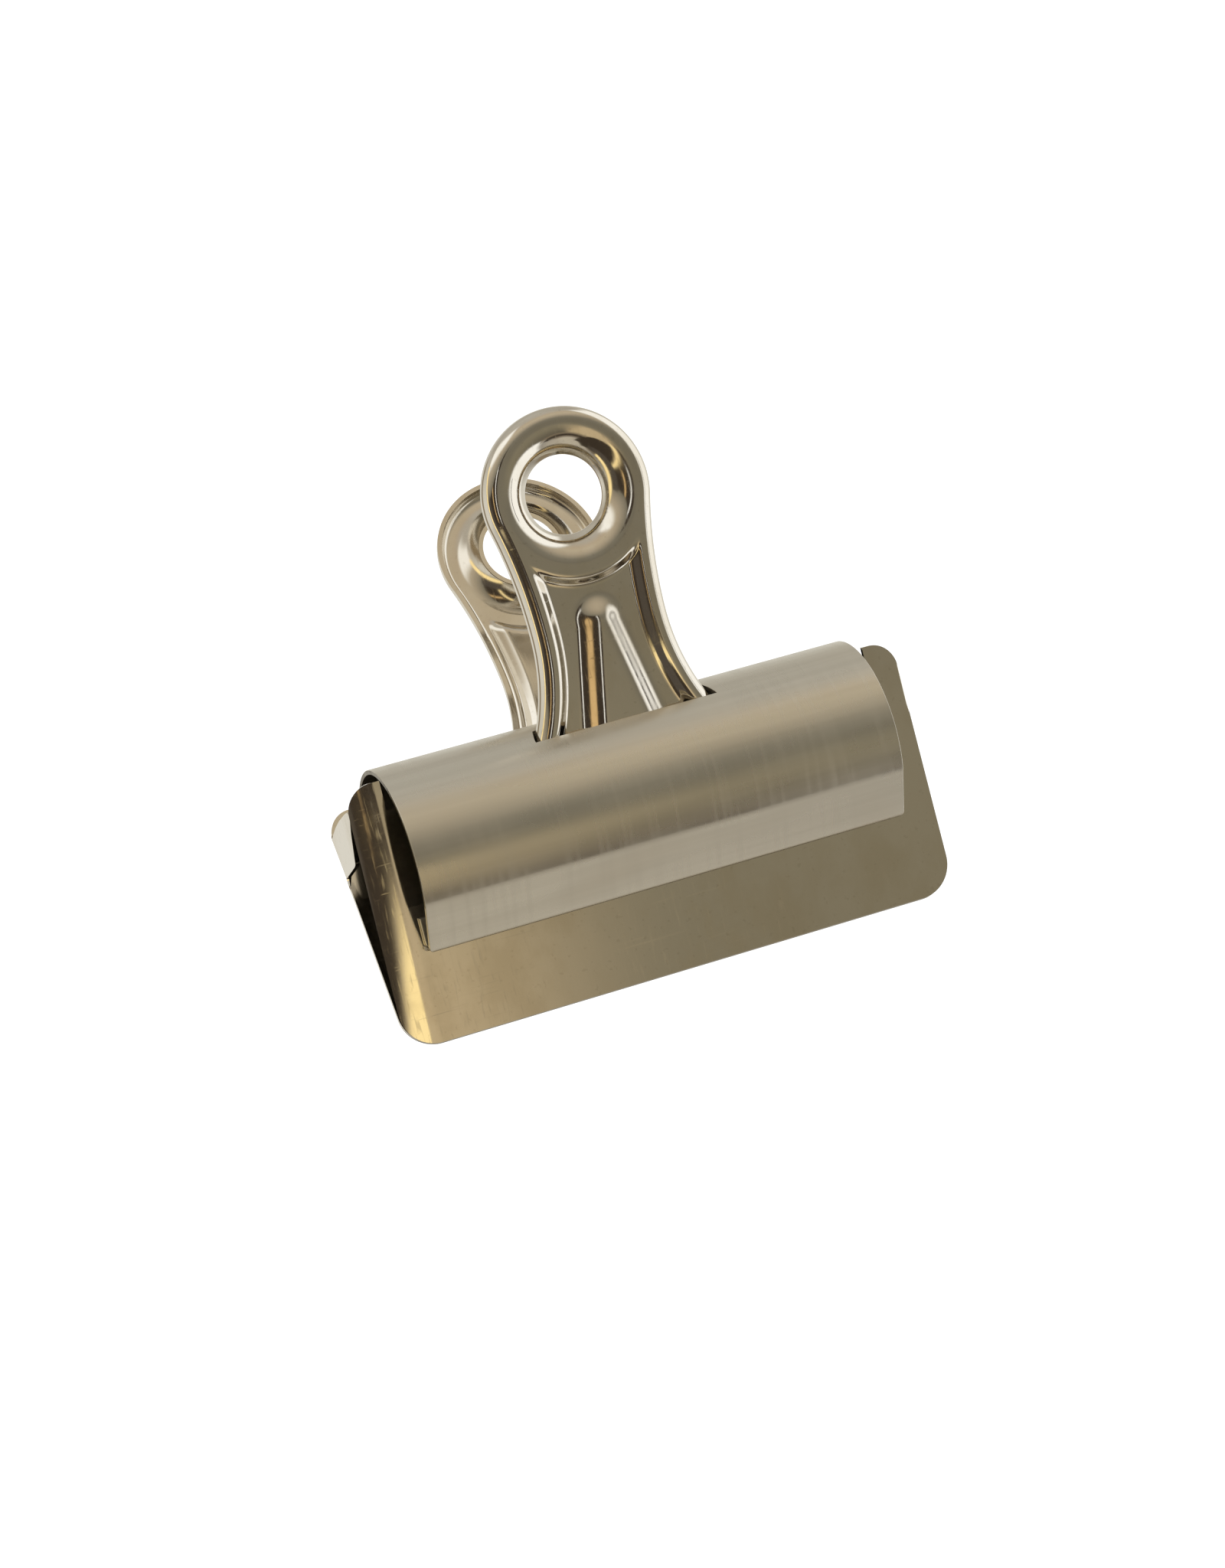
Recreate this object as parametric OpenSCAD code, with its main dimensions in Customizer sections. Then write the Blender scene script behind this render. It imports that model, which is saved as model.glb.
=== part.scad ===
// Bulldog clip: two identical stamped jaws with finger levers, gripped by a
// C-section spring barrel.
//
// Row frame, millimetres: +X runs along the barrel, -Y is the front, +Z points
// from the gripping lips towards the finger rings. The origin is on the lips,
// at the middle of the clip.
//
// Each jaw is drawn in its own sheet frame and then leaned outwards: X across,
// Y from the outer face (0) into the sheet, Z up the sheet from the lip.

/* [Sheet] */
// Thickness of the jaw sheet
jaw_t = 0.6; // [0.5:0.05:0.7]
// Thickness of the spring sheet
spring_t = 0.6; // [0.5:0.05:0.7]

/* [Jaw plate] */
// Width of a jaw across its lip
jaw_w = 76.2; // [74:0.1:80]
// Outward lean of a jaw and its lever, in degrees
jaw_lean = 13.5; // [13:0.1:14]
// Distance of a jaw's outer face from the middle plane, at the lip
lip_offset = 0.7; // [0.68:0.01:0.8]
// Height of the plate inside the barrel, measured up the sheet
plate_h = 29.8; // [29:0.1:31]
// Height of the plate's raised shoulders at its ends
shoulder_h = 33.6; // [33:0.1:34]
// Outside radius of the side edge that rolls in
roll_r = 7; // [6:0.5:8]
// How far that side edge rolls in
roll_depth = 1.5; // [1:0.1:1.8]

/* [Lever] */
// Distance of the finger ring's centre from the lip, up the sheet
ring_s = 62.3; // [61:0.1:64]
// Outside radius of the finger ring
ring_r = 11.15; // [11:0.05:11.5]
// Radius of the hole in the ring
hole_r = 5.1; // [4.8:0.1:5.4]
// Radius of the dished area round the hole
dish_r = 8.2; // [8:0.1:8.4]
// Depth of the dish at the hole
dish_depth = 2.2; // [1.8:0.1:2.4]
// Half width of the neck where it is narrowest
neck_w = 9.1; // [8.8:0.1:9.4]
// Distance of the narrowest place from the lip, up the sheet
neck_s = 45.3; // [44:0.1:46]
// Radius of the neck's flare towards the plate
flare_r = 28; // [27:1:32]
// Depth of the turned-in flange round the lever
flange_depth = 2.3; // [2:0.1:2.4]
// Depth of the pressed panel in the neck
panel_depth = 1; // [0.8:0.1:1.2]
// Radius of the panel's upper edge, about the ring's centre
panel_r = 10.7; // [10.4:0.1:11]

/* [Barrel] */
// Length of the spring barrel
barrel_len = 65.5; // [64:0.5:66]
// Outside radius of the spring barrel
barrel_r = 12.4; // [12.3:0.05:12.5]
// Height of the barrel's axis above the lips
barrel_z = 23.2; // [23.1:0.05:23.3]
// Angle below the horizontal at which the barrel turns into its flat lip, in degrees
crease_angle = 36; // [35:1:37]
// Outside radius of the hem at the end of the lip
hem_r = 1; // [0.9:0.05:1.1]
// Height of the hem's return leg
hem_leg = 3.4; // [3:0.1:3.6]

/* [Hidden] */

steel = [0.72, 0.69, 0.62];
satin = [0.64, 0.62, 0.57];
arc_steps = 10;
overlap = 0.05;

// Gap left between parts that bear on each other in the real clip
bearing_gap = 0.12;
lip_gap = 0.16;

// Jaw plate
plate_corner_r = 4.5;
shoulder_corner_r = 3.5;
shoulder_x = barrel_len / 2 + 0.5;
roll_angle = acos(1 - roll_depth / roll_r);
roll_x = jaw_w / 2 - roll_r * sin(roll_angle);

// Ear: each jaw has one, at its right-hand end seen from outside. It turns
// square back, and its tip reaches across to the other jaw's plate
ear_bend_r = 1.1;
ear_x = jaw_w / 2 - 0.3;
ear_outline = [
    [-1, 24.7, 0], [1.5, 24.4, 0.8], [6.9, 23.3, 0.5], [10.6, 26, 2],
    [13, 27.3, 0.4], [13, 28.2, 0.5], [7.6, 29.6, 4], [3, 30.3, 2], [-1, 30.3, 0]];

// Lever
ring_blend_r = (pow(ring_s - neck_s, 2) + pow(neck_w, 2) - pow(ring_r, 2)) / (2 * (ring_r - neck_w));
blend_top_s = ring_s - ring_r * (ring_s - neck_s) / (ring_blend_r + ring_r);
flange_low_s = plate_h + 1.5;
hole_rim = 0.9;
panel_inset = 2.9;
panel_low_s = 31.4;
tongue_top_s = 48.2;

// Barrel
slot_half_w = 12.6;
slot_gap = 0.35;
slot_low_s = 29.3;
slot_high_s = 35.9;
crease = [-barrel_r * cos(crease_angle), barrel_z - barrel_r * sin(crease_angle)];
plate_normal = [-cos(jaw_lean), -sin(jaw_lean)];
plate_up = [-sin(jaw_lean), cos(jaw_lean)];
hem_s = 12.3;
hem_centre = [-lip_offset, 0] + hem_s * plate_up + (bearing_gap + hem_r) * plate_normal;

function unit(v) = v / norm(v);

function arc(centre, r, from, to) =
    [for (i = [0:arc_steps]) let (a = from + (to - from) * i / arc_steps) centre + r * [cos(a), sin(a)]];

// The short way round from one angle to another
function turn(from, to) = let (d = to - from) d > 180 ? d - 360 : d < -180 ? d + 360 : d;

// Points that round the corner b of the outline a, b, c
function corner(a, b, c, r) =
    let (u = unit(a - b), w = unit(c - b), half = acos(u * w) / 2,
         centre = b + unit(u + w) * r / sin(half),
         start = b + u * r / tan(half) - centre,
         stop = b + w * r / tan(half) - centre,
         from = atan2(start[1], start[0]))
    arc(centre, r, from, from + turn(from, atan2(stop[1], stop[0])));

// An outline given as [x, y, corner radius] points
module rounded(points) {
    n = len(points);
    flat = [for (p = points) [p[0], p[1]]];
    polygon([for (i = [0:n - 1]) let (r = points[i][2])
        each (r > 0 ? corner(flat[(i + n - 1) % n], flat[i], flat[(i + 1) % n], r) : [flat[i]])]);
}

// Extrude an (x, up-the-sheet) outline into the sheet, between two depths
module into_sheet(from, to) {
    translate([0, to, 0])
        rotate([90, 0, 0])
            linear_extrude(to - from)
                children();
}

// Extrude an (inwards, up) outline along X, between two places
module along_x(from, to) {
    translate([from, 0, 0])
        rotate([90, 0, 90])
            linear_extrude(to - from)
                children();
}

module both_sides() {
    children();
    mirror([1, 0, 0]) children();
}

// Lean a jaw outwards and set its lip at its distance from the middle plane
module set_jaw() {
    translate([0, -lip_offset, 0])
        rotate([jaw_lean, 0, 0])
            children();
}

// ---- Jaw -------------------------------------------------------------------

module plate_outline() {
    w = jaw_w / 2;
    rounded([
        [-w, 0, plate_corner_r], [ear_x, 0, plate_corner_r],
        [ear_x, shoulder_h, shoulder_corner_r], [shoulder_x, shoulder_h, 0.5],
        [shoulder_x, plate_h, 0], [-shoulder_x, plate_h, 0],
        [-shoulder_x, shoulder_h, 0.5], [-w, shoulder_h, shoulder_corner_r]]);
}

// Section of the plate: flat, with its left-hand side edge rolled in
module rolled_section() {
    translate([-overlap, 0]) square([ear_x + overlap, jaw_t]);
    mirror([1, 0])
        polygon(concat(
            [[0, jaw_t], [0, 0]],
            arc([roll_x, roll_r], roll_r, -90, -90 + roll_angle),
            arc([roll_x, roll_r], roll_r - jaw_t, -90 + roll_angle, -90)));
}

module jaw_plate() {
    intersection() {
        linear_extrude(shoulder_h + 1) rolled_section();
        into_sheet(-1, roll_depth + 2) plate_outline();
    }
}

// Section of the ear: a square bend from the plate, then straight back
module ear_section() {
    centre = [ear_x - ear_bend_r, ear_bend_r];
    reach = 14;
    polygon(concat(
        [[centre[0] - 0.5, 0]],
        arc(centre, ear_bend_r, -90, 0),
        [[ear_x, reach], [ear_x - jaw_t, reach]],
        arc(centre, ear_bend_r - jaw_t, 0, -90),
        [[centre[0] - 0.5, jaw_t]]));
}

module ear() {
    intersection() {
        linear_extrude(shoulder_h + 1) ear_section();
        along_x(0, jaw_w) rounded(ear_outline);
    }
}

// Outline of the lever, drawn inset by a distance from its edge
module lever_outline(inset = 0) {
    translate([0, ring_s]) circle(ring_r - inset, $fn = 96);
    difference() {
        translate([-ring_r, neck_s - overlap])
            square([2 * ring_r, blend_top_s - neck_s + overlap]);
        both_sides()
            translate([neck_w + ring_blend_r, neck_s]) circle(ring_blend_r + inset, $fn = 96);
    }
    difference() {
        translate([-slot_half_w, plate_h - 1])
            square([2 * slot_half_w, neck_s - plate_h + 1]);
        both_sides()
            translate([neck_w + flare_r, neck_s]) circle(flare_r + inset, $fn = 96);
    }
}

// Outline of the raised tongue that the neck panel runs round
module tongue_outline(inset = 0) {
    top = tongue_top_s - inset;
    rounded([
        [inset - 4.8, panel_low_s - 2, 0], [4.8 - inset, panel_low_s - 2, 0],
        [1.5 - inset, top, 0.7], [inset - 1.5, top, 0.7]]);
}

// Outline of the pressed neck panel, drawn larger by a distance from its edge
module panel_outline(grow = 0) {
    difference() {
        intersection() {
            lever_outline(panel_inset - grow);
            translate([-ring_r, panel_low_s - grow]) square([2 * ring_r, ring_s - panel_low_s]);
        }
        translate([0, ring_s]) circle(panel_r - grow, $fn = 96);
        tongue_outline(grow);
    }
}

module lever_face() {
    into_sheet(0, jaw_t)
        difference() {
            lever_outline();
            translate([0, ring_s]) circle(dish_r, $fn = 96);
            panel_outline();
        }
}

// The panel's floor and the wall round it
module neck_panel() {
    into_sheet(panel_depth, panel_depth + jaw_t)
        panel_outline(jaw_t);
    into_sheet(overlap, panel_depth + overlap)
        difference() {
            panel_outline(jaw_t);
            panel_outline();
        }
}

// The flange turned in along the lever's sides and round its ring
module lever_flange() {
    into_sheet(overlap, flange_depth)
        difference() {
            lever_outline();
            lever_outline(jaw_t);
            translate([-jaw_w / 2, 0]) square([jaw_w, flange_low_s]);
        }
}

// The dished finger rest, turned about the hole, with a short straight rim
module dish() {
    bulge_r = dish_r - hole_r;
    slope = [for (i = [0:arc_steps]) let (a = 90 * i / arc_steps)
        [hole_r + bulge_r * (1 - sin(a)), dish_depth * (1 - cos(a))]];
    last = len(slope) - 1;
    translate([0, 0, ring_s])
        rotate([-90, 0, 0])
            rotate_extrude($fn = 96)
                polygon(concat(
                    [[dish_r + 0.4, jaw_t], [dish_r + 0.4, 0]],
                    slope,
                    [[hole_r, dish_depth + hole_rim], [hole_r + jaw_t, dish_depth + hole_rim]],
                    [for (i = [last:-1:0]) slope[i] + [jaw_t * (1 - i / last) + 0.3, jaw_t]]));
}

// The rolled side edge is cut back near the lip, where two jaws meet
module meeting_face() {
    translate([-jaw_w / 2 - 1, -lip_gap / 2, -1])
        cube([jaw_w + 2, 4, 11]);
}

module jaw() {
    color(steel)
        difference() {
            set_jaw()
                union() {
                    jaw_plate();
                    ear();
                    lever_face();
                    lever_flange();
                    dish();
                    neck_panel();
                }
            meeting_face();
        }
}

module front_jaw() {
    jaw();
}

module rear_jaw() {
    rotate([0, 0, 180]) jaw();
}

// ---- Spring barrel ---------------------------------------------------------

// One flat lip with its hem, for the front half of the barrel
module lip_section() {
    to_hem = hem_centre - crease;
    lip_angle = atan2(to_hem[1], to_hem[0]) - asin(hem_r / norm(to_hem));
    lip_len = sqrt(to_hem * to_hem - hem_r * hem_r);
    lip_side = atan2(-cos(lip_angle), sin(lip_angle));
    plate_side = atan2(-plate_normal[1], -plate_normal[0]);
    translate(crease)
        rotate(lip_angle)
            square([lip_len + overlap, spring_t]);
    polygon(concat(
        arc(hem_centre, hem_r, lip_side, plate_side),
        arc(hem_centre, hem_r - spring_t, plate_side, lip_side)));
    translate(hem_centre)
        rotate(jaw_lean)
            translate([hem_r - spring_t, -overlap])
                square([spring_t, hem_leg + overlap]);
}

module barrel_section() {
    difference() {
        translate([0, barrel_z]) circle(barrel_r, $fn = 128);
        translate([0, barrel_z]) circle(barrel_r - spring_t, $fn = 128);
        polygon([
            [0, barrel_z],
            [2 * crease[0], barrel_z - 2 * barrel_r * sin(crease_angle)],
            [-2 * crease[0], barrel_z - 2 * barrel_r * sin(crease_angle)]]);
    }
    both_sides() lip_section();
}

// The slot that a lever passes through
module lever_slot() {
    set_jaw()
        translate([-slot_half_w, -slot_gap, slot_low_s])
            cube([2 * slot_half_w, flange_depth + 2 * slot_gap, slot_high_s - slot_low_s]);
}

module spring_barrel() {
    color(satin)
        difference() {
            along_x(-barrel_len / 2, barrel_len / 2) barrel_section();
            lever_slot();
            rotate([0, 0, 180]) lever_slot();
        }
}

spring_barrel();
front_jaw();
rear_jaw();
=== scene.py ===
"""Looks of the bulldog clip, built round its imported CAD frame."""
import math

import bmesh
import bpy
import numpy as np
from mathutils import Matrix, Vector


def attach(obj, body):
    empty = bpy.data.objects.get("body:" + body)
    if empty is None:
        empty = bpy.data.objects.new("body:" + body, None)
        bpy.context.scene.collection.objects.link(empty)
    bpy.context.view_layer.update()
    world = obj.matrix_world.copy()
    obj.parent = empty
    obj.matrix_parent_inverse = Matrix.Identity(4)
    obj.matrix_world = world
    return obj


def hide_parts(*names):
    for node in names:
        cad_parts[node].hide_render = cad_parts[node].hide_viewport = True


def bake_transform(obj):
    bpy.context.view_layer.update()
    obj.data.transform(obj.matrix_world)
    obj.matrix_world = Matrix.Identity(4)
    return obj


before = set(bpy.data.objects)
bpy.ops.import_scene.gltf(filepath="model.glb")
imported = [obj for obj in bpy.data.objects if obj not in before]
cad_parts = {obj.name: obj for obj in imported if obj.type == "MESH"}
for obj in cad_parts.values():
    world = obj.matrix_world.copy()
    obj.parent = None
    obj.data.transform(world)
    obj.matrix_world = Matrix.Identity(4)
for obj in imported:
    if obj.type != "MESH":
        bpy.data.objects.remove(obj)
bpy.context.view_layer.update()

MM = 0.001

# ---- Measures of the clip, in millimetres, as in the CAD part ---------------

SHEET = 0.6
EDGE_SOFT = 0.13
LEAN = math.radians(13.5)
LIP_OFFSET = 0.7
HALF_W = 38.1
PLATE_TOP = 29.8
SHOULDER_TOP = 33.6
SHOULDER_X = 33.25
ROLL_R = 7.0
ROLL_X = 33.77
CORNER_R = 4.5
SHOULDER_R = 3.5
NARROWING = 0.0021  # share of its width past the barrel that a plate's end loses per millimetre up

EAR_X = 37.8
EAR_BEND_R = 0.15
EAR_LOW = 24.6
EAR_TOP = 30.3
EAR_EDGE = SHOULDER_X + (EAR_X - SHOULDER_X) * (1 - NARROWING * (EAR_LOW + EAR_TOP) / 2)

RING_S = 62.3
RING_R = 11.15
HOLE_R = 5.1
DISH_R = 9.0
DISH_CURVE = 0.95
MOUTH_TILT = math.radians(58)
MOUTH_R = 0.9
NECK_W = 9.1
NECK_S = 45.3
FLARE_R = 28.0
BEND_R = 1.75
FLANGE_DEPTH = 2.3

PANEL_DEPTH = 1.0
PANEL_R = 11.1
PANEL_FOOT = 30.2
PANEL_SIDE = (0.25, 2.15)  # its side wall's start and end, in from the lever's bend
PANEL_RIM = (-0.6, 0.8)  # the same below the ring
TONGUE_TOP = 48.6
TONGUE_HALF_W = 1.65
TONGUE_SPREAD = 0.2  # how much its half width grows for each millimetre down
TONGUE_ROUND = 2.6  # from its top down to the centre of its rounded end
TONGUE_SLOPE = 1.8  # half the width of its side walls

BARREL_LEN = 65.5
BARREL_R = 12.4
BARREL_Z = 23.2
# the barrel's inner side above INSIDE_LOW takes the painted shade
INSIDE_LOW = 15.5  # lowest height of the barrel's inner side, above its lips
CREASE = math.radians(36)
HEM_R = 1.0
HEM_GAP = 0.12  # between the hem and the jaw's face
HEM_LEG = 3.4
HEM_S = 12.3
LIP_CORNER_R = 1.5
LIP_END = -13  # the path's point at the bottom of the hem
SLOT_HALF_W = 12.5
SLOT_LOW = math.radians(45.6)
SLOT_HIGH = math.radians(60.4)
SLOT_TAPER = 0.92
TAPER_END = 24.0  # the slot's taper fades out by here across the barrel


# ---- Small helpers -----------------------------------------------------------

def pressed(low, high, value):
    """0 below low, 1 above high, and a straight slope between with rounded feet."""
    t = np.clip((value - low) / (high - low), 0.0, 1.0)
    foot = 0.3
    low_part = t ** 2 / (2 * foot)
    high_part = 1 - foot - (1 - t) ** 2 / (2 * foot)
    return np.where(t < foot, low_part, np.where(t > 1 - foot, high_part, t - foot / 2)) / (1 - foot)


def smooth(low, high, value):
    """0 below low, 1 above high, and a smooth rise between."""
    t = np.clip((value - low) / (high - low), 0.0, 1.0)
    return t * t * (3 - 2 * t)


def steps(*stops):
    """Rising values through the stops: (start, count, next, count, ... end)."""
    out = [np.array([stops[0]])]
    for i in range(0, len(stops) - 2, 2):
        out.append(np.linspace(stops[i], stops[i + 2], stops[i + 1] + 1)[1:])
    return np.concatenate(out)


class Patches:
    """Grids of points, joined where their points meet."""

    def __init__(self):
        self.points, self.faces, self.count = [], [], 0

    def add(self, grid, flip=False, skip=None):
        """A grid of points as rows x columns x 3; skip leaves out faces by their corners' mean."""
        rows, columns = grid.shape[:2]
        index = np.arange(rows * columns).reshape(rows, columns) + self.count
        quads = np.stack([index[:-1, :-1], index[:-1, 1:], index[1:, 1:], index[1:, :-1]], axis=-1)
        if skip is not None:
            mean = (grid[:-1, :-1] + grid[:-1, 1:] + grid[1:, 1:] + grid[1:, :-1]) / 4
            quads = quads[~skip(mean)]
        quads = quads.reshape(-1, 4)
        self.faces.append(quads[:, ::-1] if flip else quads)
        self.points.append(grid.reshape(-1, 3))
        self.count += rows * columns

    def build(self, name, place):
        """The joined mesh object, with its points moved by place, in metres."""
        points = place(np.concatenate(self.points)) * MM
        mesh = bpy.data.meshes.new(name)
        mesh.from_pydata(points.tolist(), [], np.concatenate(self.faces).tolist())
        bm = bmesh.new()
        bm.from_mesh(mesh)
        bmesh.ops.remove_doubles(bm, verts=bm.verts, dist=0.004 * MM)
        bmesh.ops.dissolve_degenerate(bm, edges=bm.edges, dist=0.002 * MM)
        loose = [v for v in bm.verts if not v.link_faces]
        bmesh.ops.delete(bm, geom=loose, context="VERTS")
        bm.to_mesh(mesh)
        bm.free()
        for polygon in mesh.polygons:
            polygon.use_smooth = True
        piece = bpy.data.objects.new(name, mesh)
        bpy.context.scene.collection.objects.link(piece)
        return piece


def thicken(piece):
    """Give a surface its sheet thickness, behind it, and soften the cut edges."""
    solid = piece.modifiers.new("sheet", "SOLIDIFY")
    solid.thickness = SHEET * MM
    solid.offset = -1
    solid.use_even_offset = True
    solid.use_quality_normals = True
    edge = piece.modifiers.new("edge", "BEVEL")
    edge.width = EDGE_SOFT * MM
    edge.segments = 3
    edge.limit_method = "ANGLE"
    edge.angle_limit = math.radians(50)
    edge.use_clamp_overlap = True
    edge.harden_normals = True
    bpy.context.view_layer.update()
    graph = bpy.context.evaluated_depsgraph_get()
    mesh = bpy.data.meshes.new_from_object(piece.evaluated_get(graph))
    piece.modifiers.clear()
    piece.data = mesh


# ---- The jaw -------------------------------------------------------------------

def leaned(points):
    """Sheet frame (across, into the sheet, up the sheet) to the row frame, for the front jaw."""
    x, d, s = points.T
    y = -LIP_OFFSET + d * math.cos(LEAN) - s * math.sin(LEAN)
    z = d * math.sin(LEAN) + s * math.cos(LEAN)
    return np.stack([x, y, z], axis=1)


def turned(points):
    """The same for the rear jaw, which is the front one turned half round."""
    return leaned(points) * [-1, -1, 1]


BLEND_R = ((RING_S - NECK_S) ** 2 + NECK_W ** 2 - RING_R ** 2) / (2 * (RING_R - NECK_W))
TANGENT = math.atan2(NECK_S - RING_S, NECK_W + BLEND_R)


def neck_half_width(s, inset):
    """Half width of the lever below its ring, inset from the edge."""
    flare = NECK_W + FLARE_R - np.sqrt((FLARE_R + inset) ** 2 - (s - NECK_S) ** 2)
    blend = NECK_W + BLEND_R - np.sqrt((BLEND_R + inset) ** 2 - (s - NECK_S) ** 2)
    return np.where(s < NECK_S, flare, blend)


def neck_normal(s, x):
    """Outward direction at a point on the lever's right edge below its ring."""
    radius = np.where(s < NECK_S, FLARE_R, BLEND_R)
    across = NECK_W + radius - x
    up = NECK_S - s
    length = np.hypot(across, up)
    return np.stack([across / length, up / length], axis=-1)


def relief(x, s):
    """Depth of the pressed neck panel, with its raised tongue, below the lever's face."""
    side_wall = neck_half_width(np.clip(s, 30, 58), BEND_R) - np.abs(x)
    below_ring = np.hypot(x, s - RING_S) - PANEL_R
    walls = pressed(*PANEL_SIDE, side_wall) * pressed(*PANEL_RIM, below_ring)
    panel = walls * smooth(PANEL_FOOT, PANEL_FOOT + 2, s)
    drop = TONGUE_TOP - s
    half = TONGUE_HALF_W + TONGUE_SPREAD * np.clip(drop - 3.0, 0, None)
    out = np.hypot(x, np.minimum(drop - TONGUE_ROUND, 0.0)) - half
    tongue = 1 - smooth(-TONGUE_SLOPE, TONGUE_SLOPE, out)
    return PANEL_DEPTH * panel * (1 - tongue)


def dish_profile():
    """(radius, depth) from the ring's flat face, down the funnel, to the hole's rounded mouth."""
    turn = np.linspace(MOUTH_TILT, math.pi / 2, 9)[1:]
    foot = HOLE_R + MOUTH_R * (1 - math.sin(MOUTH_TILT))
    r = np.concatenate([np.linspace(RING_R - BEND_R, DISH_R, 5), np.linspace(DISH_R, foot, 44)[1:]])
    slope = np.tan(MOUTH_TILT * (np.clip(DISH_R - r, 0, None) / (DISH_R - foot)) ** DISH_CURVE)
    fall = np.concatenate([[0], np.cumsum((slope[1:] + slope[:-1]) / 2 * -np.diff(r))])
    mouth_r = HOLE_R + MOUTH_R * (1 - np.sin(turn))
    mouth_fall = fall[-1] + MOUTH_R * (math.cos(MOUTH_TILT) - np.cos(turn))
    return np.stack([np.concatenate([r, mouth_r]), np.concatenate([fall, mouth_fall])], axis=-1)


def lever(patches, columns):
    """The finger lever: neck, dished ring and turned-in flange."""
    neck_rows = 96
    face_r = RING_R - BEND_R
    count = len(columns)
    low_arc = np.linspace(math.pi - TANGENT, 2 * math.pi + TANGENT, count)
    top = np.stack([face_r * np.cos(low_arc), RING_S + face_r * np.sin(low_arc)], axis=-1)
    foot = np.stack([columns, np.full(count, PLATE_TOP)], axis=-1)
    v = np.linspace(0, 1, neck_rows + 1)
    edge_s = PLATE_TOP + (top[-1, 1] - PLATE_TOP) * v
    edge_x = neck_half_width(edge_s, BEND_R)
    edge_x[0], edge_x[-1] = foot[-1, 0], top[-1, 0]
    right = np.stack([edge_x, edge_s], axis=-1)
    left = right * [-1, 1]
    u = np.linspace(0, 1, count)
    uu, vv = u[None, :, None], v[:, None, None]
    flat = (
        (1 - vv) * foot[None] + vv * top[None] + (1 - uu) * left[:, None] + uu * right[:, None]
        - (1 - uu) * (1 - vv) * foot[0] - uu * (1 - vv) * foot[-1]
        - (1 - uu) * vv * top[0] - uu * vv * top[-1])
    grid = np.stack([flat[..., 0], relief(flat[..., 0], flat[..., 1]), flat[..., 1]], axis=-1)
    patches.add(grid)

    high_arc = np.linspace(TANGENT, math.pi - TANGENT, 120)
    round_ring = np.concatenate([high_arc, low_arc[1:-1], [2 * math.pi + TANGENT]])
    profile = dish_profile()
    r, d = profile[:, 0][:, None], profile[:, 1][:, None]
    ring_x, ring_s = r * np.cos(round_ring), RING_S + r * np.sin(round_ring)
    depth = d + relief(ring_x, ring_s) * (r > DISH_R + 0.01)
    patches.add(np.stack([ring_x, depth, ring_s], axis=-1))

    # the bend and flange follow the edge up the right side, over the ring and down the left
    right_n = neck_normal(edge_s, edge_x)
    over = np.stack([face_r * np.cos(high_arc), RING_S + face_r * np.sin(high_arc)], axis=-1)
    over_n = np.stack([np.cos(high_arc), np.sin(high_arc)], axis=-1)
    line = np.concatenate([right, over[1:-1], left[::-1]])
    normal = np.concatenate([right_n, over_n[1:-1], right_n[::-1] * [-1, 1]])
    turn = np.radians(np.linspace(0, 90, 11))
    out = np.concatenate([BEND_R * np.sin(turn), [BEND_R, BEND_R]])[:, None, None]
    deep = np.concatenate([BEND_R * (1 - np.cos(turn)), [(BEND_R + FLANGE_DEPTH) / 2, FLANGE_DEPTH]])
    strip = line[None] + normal[None] * out
    deep = np.broadcast_to(deep[:, None], strip.shape[:2])
    patches.add(np.stack([strip[..., 0], deep, strip[..., 1]], axis=-1), flip=True)


def roll(x, s):
    """Depth of the plate's left-hand side edge, which rolls in, and less near the lip."""
    over = np.clip(-x - ROLL_X, 0, None)
    return (ROLL_R - np.sqrt(ROLL_R ** 2 - over ** 2)) * (0.58 + 0.42 * np.clip(s / 30, 0, 1))


def end_outline(x, half_w):
    """Lowest and highest point of a plate's end, at places across it."""
    over_low = np.clip(x - (half_w - CORNER_R), 0, CORNER_R)
    low = CORNER_R - np.sqrt(CORNER_R ** 2 - over_low ** 2)
    over_high = np.clip(x - (half_w - SHOULDER_R), 0, SHOULDER_R)
    high = SHOULDER_TOP - SHOULDER_R + np.sqrt(SHOULDER_R ** 2 - over_high ** 2)
    return low, high


def end_of_plate(patches, rows, side, half_w):
    """The rounded end of a plate, past the barrel; its edge narrows a little upwards."""
    turn = np.radians(np.linspace(0, 90, 21))
    x = np.concatenate([
        np.linspace(SHOULDER_X, half_w - CORNER_R, 3)[:-1], half_w - CORNER_R + CORNER_R * np.sin(turn)])
    low, high = end_outline(x, half_w)
    s = low + (high - low) * (rows / SHOULDER_TOP)[:, None]
    across = SHOULDER_X + (x - SHOULDER_X) * (1 - NARROWING * s)
    across = np.where(x > SHOULDER_X, across, SHOULDER_X)
    depth = roll(side * across, s)
    if side > 0:
        bend = np.clip(across - EAR_EDGE + EAR_BEND_R, 0, None) / EAR_BEND_R
        there = smooth(EAR_LOW - 0.4, EAR_LOW + 0.2, s) * (1 - smooth(EAR_TOP - 0.2, EAR_TOP + 0.4, s))
        across = across + EAR_BEND_R * (np.sin(bend) - bend) * there
        depth = depth + EAR_BEND_R * (1 - np.cos(bend)) * there
    patches.add(np.stack([side * across, depth, s], axis=-1), flip=side < 0)


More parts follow.
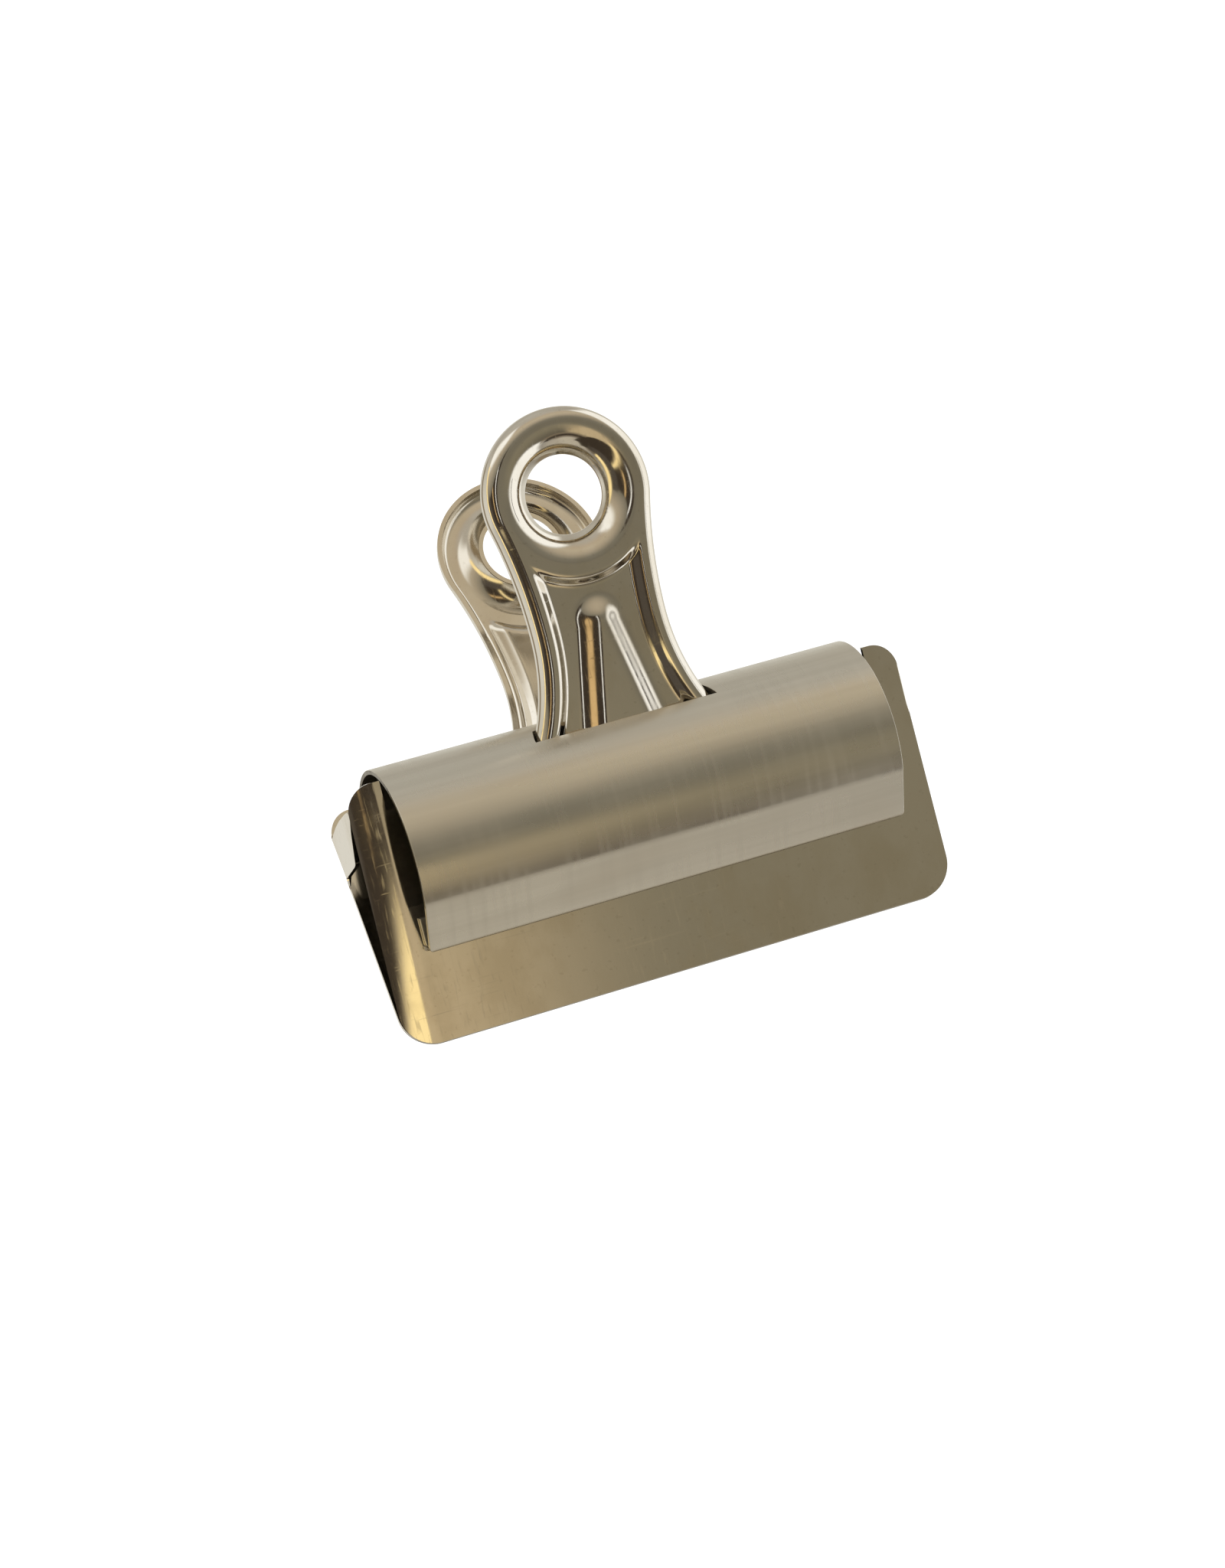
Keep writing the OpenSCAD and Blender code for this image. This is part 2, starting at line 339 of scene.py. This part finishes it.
def ear(patches):
    """The ear turned square back from the plate's right-hand edge, with its slanted tip."""
    # how far in from the plate, then the lowest and the highest point there
    outline = np.array([
        [0.0, 24.7, 30.3], [1.5, 24.4, 30.35], [4.2, 23.85, 30.15], [6.5, 23.4, 29.8], [7.2, 23.4, 29.7],
        [8.0, 24.0, 29.5], [10.6, 26.0, 28.9], [12.2, 26.9, 28.45], [12.8, 27.2, 28.2], [13.0, 27.5, 27.9]])
    turn = np.linspace(0.85, math.pi / 2, 6)
    bend = [(EAR_EDGE - EAR_BEND_R * (1 - math.sin(a)), EAR_BEND_R * (1 - math.cos(a))) for a in turn]
    flat = [(EAR_EDGE, d) for d in np.linspace(EAR_BEND_R, outline[-1, 0], 40)[1:]]
    section = np.array(bend + flat)
    low = np.interp(section[:, 1], outline[:, 0], outline[:, 1])
    high = np.interp(section[:, 1], outline[:, 0], outline[:, 2])
    share = np.linspace(0, 1, 15)[:, None]
    s = low + (high - low) * share
    across = np.broadcast_to(section[:, 0], s.shape)
    depth = np.broadcast_to(section[:, 1], s.shape)
    patches.add(np.stack([across, depth, s], axis=-1))


def make_jaw(name, place):
    """One jaw as two pieces: the plate with its lever, and its ear."""
    patches = Patches()
    foot = float(neck_half_width(np.array(PLATE_TOP), BEND_R))
    lever_columns = np.linspace(-foot, foot, 79)
    outer = np.linspace(foot, SHOULDER_X, 22)[1:]
    columns = np.concatenate([-outer[::-1], lever_columns, outer])
    rows = steps(0.0, 28, PLATE_TOP, 12, SHOULDER_TOP)
    plate_rows = rows[rows <= PLATE_TOP + 0.001]
    s = np.broadcast_to(plate_rows[:, None], (len(plate_rows), len(columns)))
    x = np.broadcast_to(columns[None], s.shape)
    patches.add(np.stack([x, np.zeros(s.shape), s], axis=-1))
    end_of_plate(patches, rows, -1, HALF_W)
    end_of_plate(patches, rows, 1, EAR_X)
    lever(patches, lever_columns)
    piece = patches.build(name, place)
    thicken(piece)
    tab = Patches()
    ear(tab)
    tab = tab.build(name + "_ear", place)
    thicken(tab)
    return [piece, tab]


# ---- The spring barrel ---------------------------------------------------------

def barrel_path():
    """(y, z) along the front half of the barrel's outer side: from its top, over the
    front, down the flat lip, round the hem and up its return leg."""
    turn = np.concatenate([
        np.linspace(math.pi / 2, SLOT_HIGH, 20), np.linspace(SLOT_HIGH, SLOT_LOW, 13)[1:],
        np.linspace(SLOT_LOW, -CREASE, 52)[1:]])
    shell = [(-BARREL_R * math.cos(a), BARREL_Z + BARREL_R * math.sin(a)) for a in turn]
    out = np.array([-math.cos(LEAN), -math.sin(LEAN)])
    up = np.array([-math.sin(LEAN), math.cos(LEAN)])
    centre = np.array([-LIP_OFFSET, 0.0]) + HEM_S * up + (HEM_GAP + HEM_R) * out
    crease = np.array(shell[-1])
    to_hem = centre - crease
    reach = math.hypot(*to_hem)
    angle = math.atan2(to_hem[1], to_hem[0]) - math.asin(HEM_R / reach)
    lip = np.array([math.cos(angle), math.sin(angle)])
    lip_len = math.sqrt(reach ** 2 - HEM_R ** 2)
    lips = [tuple(crease + lip * lip_len * f) for f in np.linspace(0, 1, 12)[1:]]
    first = math.atan2(-lip[0], lip[1])
    last = math.atan2(-out[1], -out[0])
    bend = np.linspace(first, last, 15)[1:]
    hem = [tuple(centre + HEM_R * np.array([math.cos(a), math.sin(a)])) for a in bend]
    leg = [tuple(np.array(hem[-1]) + up * HEM_LEG * f) for f in np.linspace(0, 1, 6)[1:]]
    return np.array(shell + lips + hem + leg)


def make_barrel_half(name, side):
    """The barrel's front half, or with side 1 its rear half, from the seam to the hem."""
    path = barrel_path()
    half = BARREL_LEN / 2
    inner = np.linspace(-SLOT_HALF_W, SLOT_HALF_W, 41)
    outer = np.linspace(SLOT_HALF_W, half, 31)[1:]
    x = np.concatenate([-outer[::-1], inner, outer])
    along = np.concatenate([[0], np.cumsum(np.hypot(*np.diff(path, axis=0).T))])
    from_edge = np.abs(along - along[LIP_END])
    inset = LIP_CORNER_R - np.sqrt(LIP_CORNER_R ** 2 - np.clip(LIP_CORNER_R - from_edge, 0, None) ** 2)
    near_end = smooth(half - 6, half, np.abs(x))
    angle = np.arctan2(path[:, 1] - BARREL_Z, -path[:, 0])[:, None]
    upward = smooth(SLOT_LOW - 0.05, SLOT_HIGH + 0.15, angle)
    taper = (1 - SLOT_TAPER) * upward * (1 - smooth(SLOT_HALF_W, TAPER_END, np.abs(x)))
    x = x[None] * (1 - taper) - np.sign(x)[None] * near_end[None] * inset[:, None]
    grid = np.stack([
        x,
        np.broadcast_to(path[:, 0][:, None], x.shape),
        np.broadcast_to(path[:, 1][:, None], x.shape)], axis=-1)

    def in_slot(mean):
        height = np.arctan2(mean[..., 2] - BARREL_Z, -mean[..., 1])
        inside = np.zeros(mean.shape[:2], bool)
        inside[:, len(outer):-len(outer)] = True
        return inside & (height > SLOT_LOW) & (height < SLOT_HIGH)

    patches = Patches()
    patches.add(grid, flip=True, skip=in_slot)
    turn = np.array([1, 1, 1]) if side < 0 else np.array([-1, -1, 1])
    piece = patches.build(name, lambda points: points * turn)
    thicken(piece)
    even_seam(piece)
    return piece


def even_seam(piece):
    """The barrel's halves meet along its top with the same surface direction."""
    mesh = piece.data
    normals = [Vector(n.vector) for n in mesh.corner_normals]
    for loop in mesh.loops:
        if abs(mesh.vertices[loop.vertex_index].co.y) < 1e-6 and abs(normals[loop.index].z) > 0.9:
            normals[loop.index] = Vector((0, 0, math.copysign(1, normals[loop.index].z)))
    mesh.normals_split_custom_set(normals)


# ---- Materials ---------------------------------------------------------------

NICKEL = (0.74, 0.70, 0.63)
NICKEL_WORN = (0.69, 0.64, 0.55)
NICKEL_PIT = (0.38, 0.33, 0.26)
SATIN = (0.72, 0.69, 0.62)
SATIN_DARK = (0.68, 0.65, 0.58)
# Painted shade: dark colours for the barrel's inner side that stand in for the shade inside it
PAINTED_SHADE = (0.30, 0.28, 0.24)
PAINTED_SHADE_DARK = (0.20, 0.18, 0.15)


class Nodes:
    """Short calls that add nodes to one node tree and return their first output."""

    def __init__(self, tree):
        self.tree = tree

    def add(self, kind, *values, out=0, **settings):
        made = self.tree.nodes.new(kind)
        for key, value in settings.items():
            setattr(made, key, value)
        for socket, value in zip(made.inputs, values):
            self.put(socket, value)
        return made.outputs[out]

    def put(self, socket, value):
        if isinstance(value, bpy.types.NodeSocket):
            self.tree.links.new(value, socket)
        elif value is not None:
            socket.default_value = value

    def math(self, operation, *values):
        return self.add("ShaderNodeMath", *values, operation=operation)

    def spread(self, value, low, high, start=0.0, end=1.0, kind="SMOOTHSTEP"):
        """Value from low to high mapped to start to end, held beyond them."""
        return self.add("ShaderNodeMapRange", value, low, high, start, end, interpolation_type=kind)

    def band(self, value, low, high, soft):
        """1 between low and high, with soft ends."""
        rise = self.spread(value, low - soft, low + soft)
        fall = self.spread(value, high - soft, high + soft, 1.0, 0.0)
        return self.math("MULTIPLY", rise, fall)

    def mix(self, share, one, other):
        made = self.tree.nodes.new("ShaderNodeMix")
        made.data_type = "RGBA"
        for socket, value in zip((made.inputs[0], made.inputs[6], made.inputs[7]), (share, one, other)):
            if isinstance(value, tuple):
                value = (*value, 1)
            self.put(socket, value)
        return made.outputs[2]

    def ramp(self, value, stops):
        made = self.tree.nodes.new("ShaderNodeValToRGB")
        self.put(made.inputs[0], value)
        elements = made.color_ramp.elements
        while len(elements) < len(stops):
            elements.new(0.5)
        for element, (place, colour) in zip(elements, stops):
            element.position = place
            element.color = (*colour, 1)
        return made.outputs[0]

    def stretched(self, sizes):
        """Object coordinates over the sizes in millimetres, so that one unit is one size."""
        place = self.add("ShaderNodeTexCoord", out=3)
        scale = tuple(1 / (size * MM) for size in sizes)
        return self.add("ShaderNodeMapping", place, None, None, scale)

    def noise(self, sizes, detail=2.0, rough=0.5):
        return self.add(
            "ShaderNodeTexNoise", self.stretched(sizes), None, 1.0, detail, rough, normalize=True)


def inside_of_barrel(piece):
    """The faces on the barrel's inner side take the piece's second material, the painted shade that stands
    in for the shade inside the barrel.
    """
    for polygon in piece.data.polygons:
        _, y, z = polygon.center / MM
        if math.hypot(y, z - BARREL_Z) < BARREL_R - SHEET / 2 and z > INSIDE_LOW:
            polygon.material_index = 1


def new_metal(name):
    made = bpy.data.materials.new(name)
    made.use_nodes = True
    shader = made.node_tree.nodes["Principled BSDF"]
    shader.inputs["Metallic"].default_value = 1
    return made, shader, Nodes(made.node_tree)


def make_nickel():
    """Bright nickel plate: mirror-like, with faint wave, cloudy wear and hair scratches."""
    made, shader, n = new_metal("nickel")
    cloud = n.noise((9, 9, 13), 4.0, 0.6)
    hair = n.noise((0.3, 0.8, 10), 1.0)
    cross = n.noise((9, 0.8, 0.3), 1.0)
    speck = n.noise((0.6, 0.6, 0.6), 1.0)
    worn = n.spread(cloud, 0.42, 0.66)
    tint = n.mix(worn, NICKEL, NICKEL_WORN)
    pits = n.spread(speck, 0.66, 0.74)
    n.put(shader.inputs["Base Color"], n.mix(n.math("MULTIPLY", pits, 0.15), tint, NICKEL_PIT))
    scratch = n.math("MAXIMUM", n.spread(hair, 0.55, 0.78), n.spread(cross, 0.62, 0.8))
    rough = n.math("ADD", n.spread(worn, 0.0, 1.0, 0.07, 0.13), n.math("MULTIPLY", scratch, 0.09))
    n.put(shader.inputs["Roughness"], rough)
    wave = n.add("ShaderNodeBump", 0.25, 0.03 * MM, None, n.noise((7, 7, 9), 1.0))
    fine = n.math("ADD", n.math("MULTIPLY", hair, 0.6), n.math("MULTIPLY", speck, 0.4))
    grain = n.add("ShaderNodeBump", 0.2, 0.002 * MM, None, fine, wave)
    n.put(shader.inputs["Normal"], grain)
    return made


def make_satin():
    """Satin nickel on spring steel: drawn lengthwise, with fine marks round the barrel."""
    made, shader, n = new_metal("satin_nickel")
    drawn = n.noise((30, 0.9, 0.9), 1.0)
    cloud = n.noise((16, 7, 7), 1.0)
    rubbed = n.noise((0.8, 14, 14), 0.0)
    tint = n.mix(n.spread(drawn, 0.2, 0.8), SATIN_DARK, SATIN)
    n.put(shader.inputs["Base Color"], n.mix(n.spread(cloud, 0.5, 0.75, 0.0, 0.35), tint, NICKEL_WORN))
    rough = n.math("ADD", n.spread(cloud, 0.3, 0.7, 0.24, 0.32), n.spread(rubbed, 0.4, 0.8, 0.0, 0.05))
    n.put(shader.inputs["Roughness"], rough)
    long_way = n.add("ShaderNodeBump", 0.12, 0.003 * MM, None, drawn)
    round_way = n.add("ShaderNodeBump", 0.08, 0.003 * MM, None, rubbed, long_way)
    n.put(shader.inputs["Normal"], round_way)
    return made


def make_painted_shade():
    """The barrel's inner side: the same steel, unpolished and rough, with its colour darkened as painted
    shade for the shade inside the barrel.
    """
    made, shader, n = new_metal("painted_shade_steel")
    cloud = n.noise((7, 4, 4), 4.0, 0.6)
    # painted shade: the dark colours, in cloudy patches, stand in for the shade inside the barrel
    n.put(shader.inputs["Base Color"], n.mix(n.spread(cloud, 0.35, 0.7), PAINTED_SHADE, PAINTED_SHADE_DARK))
    n.put(shader.inputs["Roughness"], n.spread(cloud, 0.3, 0.7, 0.32, 0.45))
    grain = n.noise((2, 0.3, 0.3), 3.0)
    n.put(shader.inputs["Normal"], n.add("ShaderNodeBump", 0.2, 0.004 * MM, None, grain))
    return made


nickel = make_nickel()
satin = make_satin()
painted_shade = make_painted_shade()

front = make_jaw("front_jaw_plated", leaned)
rear = make_jaw("rear_jaw_plated", turned)
for pieces, body in ((front, "front_jaw"), (rear, "rear_jaw")):
    for piece in pieces:
        piece.data.materials.append(nickel)
        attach(piece, body)
        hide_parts(body)

for side, word in ((-1, "front"), (1, "rear")):
    half = make_barrel_half(f"spring_barrel_{word}", side)
    half.data.materials.append(satin)
    # the second material is painted shade for the barrel's inner side
    half.data.materials.append(painted_shade)
    inside_of_barrel(half)
    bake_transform(half)
    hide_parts("spring_barrel")


# ---- Stage -------------------------------------------------------------------

FLOOR_Z = -0.6
FLOOR_SIZE = 12
FLOOR_PAINT = (0.9, 0.9, 0.9, 1)
WORLD_STRENGTH = 1.2
MIDDLE = Vector((0, 0, 0.035))  # of the clip; the dome stands round it and the camera looks at it
DOME_R = 0.6
AHEAD = (-82.0, 49.0)  # the azimuths of the dome that FRONT paints
AHEAD_SOFT = 4.0

# What the bright plate reflects ahead of the clip: (elevation in degrees, colour)
FRONT = [
    (-90, (0.62, 0.57, 0.47)), (-69, (0.62, 0.57, 0.47)), (-63, (0.20, 0.16, 0.12)),
    (-45, (0.17, 0.15, 0.11)), (-27, (0.26, 0.23, 0.16)), (-18, (0.27, 0.24, 0.17)),
    (-8, (0.21, 0.19, 0.145)), (6, (0.25, 0.23, 0.18)), (24, (0.52, 0.45, 0.34)),
    (36, (0.63, 0.55, 0.41)), (46, (0.60, 0.51, 0.38)), (60, (0.56, 0.52, 0.45)),
    (90, (0.58, 0.56, 0.50))]
# and behind it
BACK = [
    (-90, (0.62, 0.57, 0.47)), (-66, (0.55, 0.51, 0.44)), (-48, (0.30, 0.28, 0.24)),
    (-30, (0.40, 0.38, 0.34)), (-14, (0.66, 0.64, 0.59)), (-3, (0.84, 0.82, 0.75)),
    (14, (0.84, 0.82, 0.75)), (30, (0.74, 0.72, 0.65)), (45, (0.62, 0.59, 0.52)),
    (60, (0.50, 0.47, 0.41)), (90, (0.58, 0.56, 0.50))]
# Colours of the lights, reflectors and flags
WHITE = (1.25, 1.25, 1.22)
GOLD = (1.40, 1.12, 0.56)
WARM = (0.66, 0.53, 0.33)
AMBER = (0.85, 0.58, 0.27)
BROWN = (0.30, 0.24, 0.16)
DARK = (0.055, 0.042, 0.030)
GREY = (0.10, 0.085, 0.070)
# Each one's azimuth from and to, its elevation from and to, its softness in degrees, its colour
CARDS = [
    (53, 108, -52, 52, 4.0, WHITE),
    (59, 61.5, -20, 4, 0.7, GREY),
    (128, 147, -62, -26, 5.0, BROWN),
    (-150, -128, -40, 45, 6.0, BROWN),
    (-78, -18, 34, 60, 7.0, WHITE),
    (-40, 14, -50, -19, 5.0, WARM),
    (-72, -8, -75, -27, 1.5, DARK),
    (-51, -2, -25.8, -21.4, 1.1, GOLD),
    (-62, 4, -20.3, 5, 1.2, DARK),
    (-9, -5, -15, 4, 1.0, WHITE),
    (-31, -26, -15.6, 4, 0.9, AMBER),
    (-70, -52, -60, 8, 2.5, GREY),
    (-80, -71, -50, 40, 1.5, GOLD),
    (-10, 60, -53, -51, 0.8, BROWN),
    (-40, 60, -61, -55, 1.5, DARK)]


def make_floor():
    """A wide pale floor, far below the clip."""
    bpy.ops.mesh.primitive_plane_add(size=FLOOR_SIZE, location=(0, 0, FLOOR_Z))
    floor = bpy.context.object
    floor.name = "floor"
    paint = bpy.data.materials.new("floor")
    paint.use_nodes = True
    shader = paint.node_tree.nodes["Principled BSDF"]
    shader.inputs["Base Color"].default_value = FLOOR_PAINT
    shader.inputs["Roughness"].default_value = 0.9
    floor.data.materials.append(paint)


def make_world():
    """Even white light from all round, which the camera sees as the backdrop."""
    world = bpy.data.worlds.new("studio")
    world.use_nodes = True
    background = world.node_tree.nodes["Background"]
    background.inputs["Color"].default_value = (1, 1, 1, 1)
    background.inputs["Strength"].default_value = WORLD_STRENGTH
    bpy.context.scene.world = world


def make_dome():
    """The studio walls that only the bright metal sees, as a painted dome round the clip."""
    bpy.ops.mesh.primitive_uv_sphere_add(segments=96, ring_count=64, radius=DOME_R, location=MIDDLE)
    dome = bpy.context.object
    dome.name = "studio_dome"
    paint = bpy.data.materials.new("studio_dome")
    paint.use_nodes = True
    paint.node_tree.nodes.clear()
    n = Nodes(paint.node_tree)
    split = n.add("ShaderNodeSeparateXYZ", n.add("ShaderNodeTexCoord", out=3))
    x, y, z = split.node.outputs
    elevation = n.math("ARCSINE", n.math("DIVIDE", z, DOME_R))
    elevation = n.math("MULTIPLY", elevation, math.degrees(1))
    azimuth = n.math("ARCTAN2", x, n.math("MULTIPLY", y, -1.0))
    azimuth = n.math("MULTIPLY", azimuth, math.degrees(1))
    share = n.spread(elevation, -90.0, 90.0, kind="LINEAR")
    ahead = n.ramp(share, [((angle + 90) / 180, tone) for angle, tone in FRONT])
    behind = n.ramp(share, [((angle + 90) / 180, tone) for angle, tone in BACK])
    colour = n.mix(n.band(azimuth, *AHEAD, AHEAD_SOFT), behind, ahead)
    for left, right, bottom, top, soft, tone in CARDS:
        across, upward = n.band(azimuth, left, right, soft), n.band(elevation, bottom, top, soft)
        colour = n.mix(n.math("MULTIPLY", across, upward), colour, tone)
    glow = n.add("ShaderNodeEmission", colour, 1.0)
    n.put(n.tree.nodes.new("ShaderNodeOutputMaterial").inputs[0], glow)
    dome.data.materials.append(paint)
    dome.visible_camera = False
    dome.visible_diffuse = False
    dome.visible_shadow = False


# The camera: below the clip's middle, to its left, and tipped sideways
CAMERA_AZIMUTH = math.radians(-17.34)
CAMERA_ELEVATION = math.radians(-8.92)
CAMERA_ROLL = math.radians(18.15)
CAMERA_DISTANCE = 0.4765
CAMERA_LENS = 84.8
CAMERA_SENSOR = 36
CAMERA_SHIFT = (0.0056, -0.0463)


def make_camera():
    """The camera that the photo was fitted with."""
    a, e = CAMERA_AZIMUTH, CAMERA_ELEVATION
    back = Vector((math.sin(a) * math.cos(e), -math.cos(a) * math.cos(e), math.sin(e)))
    data = bpy.data.cameras.new("camera")
    data.lens = CAMERA_LENS
    data.sensor_width = CAMERA_SENSOR
    data.shift_x, data.shift_y = CAMERA_SHIFT
    camera = bpy.data.objects.new("camera", data)
    camera.location = MIDDLE + back * CAMERA_DISTANCE
    camera.rotation_mode = "QUATERNION"
    level = (-back).to_track_quat("-Z", "Y")
    camera.rotation_quaternion = level @ Matrix.Rotation(-CAMERA_ROLL, 4, "Z").to_quaternion()
    bpy.context.scene.collection.objects.link(camera)
    bpy.context.scene.camera = camera


make_floor()
make_world()
make_dome()
make_camera()
bpy.context.scene.view_settings.view_transform = "Standard"
